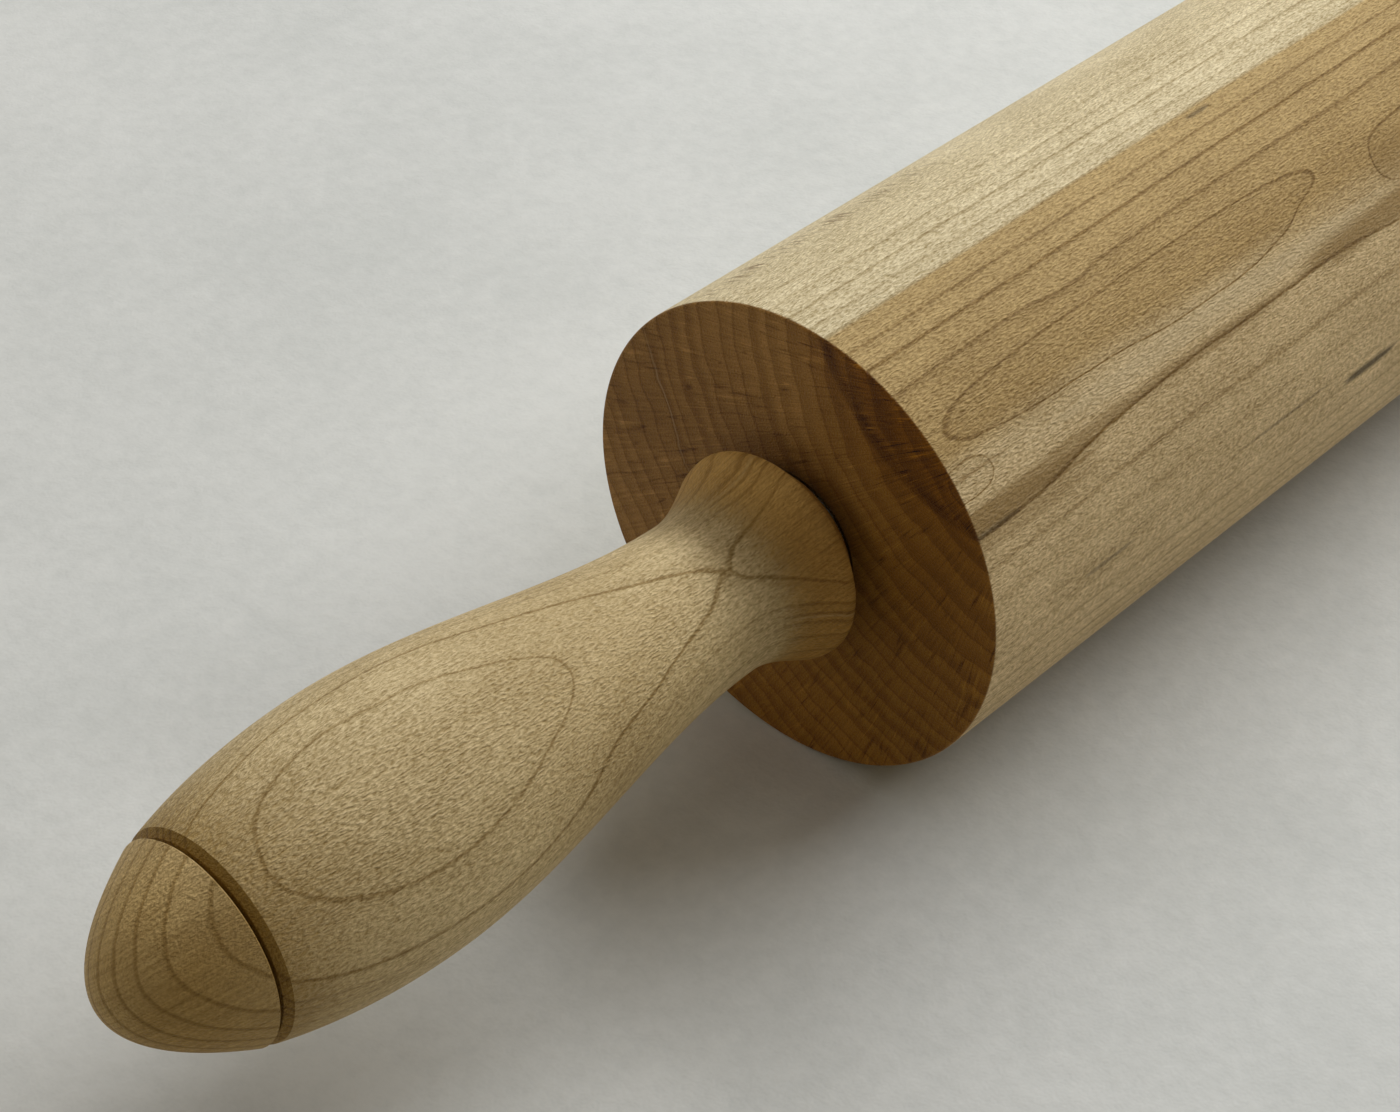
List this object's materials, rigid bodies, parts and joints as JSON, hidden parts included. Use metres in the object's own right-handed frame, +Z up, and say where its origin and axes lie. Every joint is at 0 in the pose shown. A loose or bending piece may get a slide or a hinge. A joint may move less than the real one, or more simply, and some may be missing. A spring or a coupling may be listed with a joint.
{
  "type": "rolling pin",
  "caption": "Wooden rolling pin: a cylindrical barrel that turns on ball bearings round a steel rod with a shaped handle and a domed cap at each end.",
  "frame": {"origin": "on the surface the barrel rests on, under the middle of the barrel", "axes": "+X along the pin from its left handle to its right handle, +Z up"},
  "size_m": [0.5398, 0.07, 0.07],
  "materials": {
    "maple_barrel": "turned light maple, satin",
    "maple_handle": "turned light maple, satin",
    "maple_cap": "turned light maple, satin",
    "rod_steel": "drawn bright",
    "spacer_steel": "turned",
    "washer_zinc": "zinc plated",
    "nut_zinc": "zinc plated",
    "race_steel": "ground",
    "ball_steel": "polished",
    "shield_steel": "pressed sheet",
    "cage_nylon": "natural nylon"
  },
  "bodies": {
    "barrel_unit": {"barrel": "maple_barrel", "left_bearing_outer_race": "race_steel", "left_bearing_shield": "shield_steel", "right_bearing_outer_race": "race_steel", "right_bearing_shield": "shield_steel"},
    "handle_unit": {"axle_rod": "rod_steel", "left_handle": "maple_handle", "left_end_cap": "maple_cap", "left_axle_nut": "nut_zinc", "left_axle_washer": "washer_zinc", "left_spacer_washer": "spacer_steel", "left_bearing_inner_race": "race_steel", "right_handle": "maple_handle", "right_end_cap": "maple_cap", "right_axle_nut": "nut_zinc", "right_axle_washer": "washer_zinc", "right_spacer_washer": "spacer_steel", "right_bearing_inner_race": "race_steel"},
    "left_cage_unit": {"left_bearing_cage": "cage_nylon", "left_bearing_ball_1": "ball_steel", "left_bearing_ball_2": "ball_steel", "left_bearing_ball_3": "ball_steel", "left_bearing_ball_4": "ball_steel", "left_bearing_ball_5": "ball_steel", "left_bearing_ball_6": "ball_steel", "left_bearing_ball_7": "ball_steel"},
    "right_cage_unit": {"right_bearing_cage": "cage_nylon", "right_bearing_ball_1": "ball_steel", "right_bearing_ball_2": "ball_steel", "right_bearing_ball_3": "ball_steel", "right_bearing_ball_4": "ball_steel", "right_bearing_ball_5": "ball_steel", "right_bearing_ball_6": "ball_steel", "right_bearing_ball_7": "ball_steel"}
  },
  "joints": [
    {"name": "handle_spin", "type": "hinge", "parent": "barrel_unit", "child": "handle_unit", "pos_m": [0, 0, 0.035], "axis": [1, 0, 0], "continuous": true},
    {"name": "left_cage_spin", "type": "hinge", "parent": "barrel_unit", "child": "left_cage_unit", "pos_m": [-0.148, 0, 0.035], "axis": [1, 0, 0], "continuous": true},
    {"name": "right_cage_spin", "type": "hinge", "parent": "barrel_unit", "child": "right_cage_unit", "pos_m": [0.148, 0, 0.035], "axis": [1, 0, 0], "continuous": true}
  ],
  "couplings": [
    {"joint": "left_cage_spin", "follows": "handle_spin", "ratio": 0.3677},
    {"joint": "right_cage_spin", "follows": "handle_spin", "ratio": 0.3677}
  ]
}
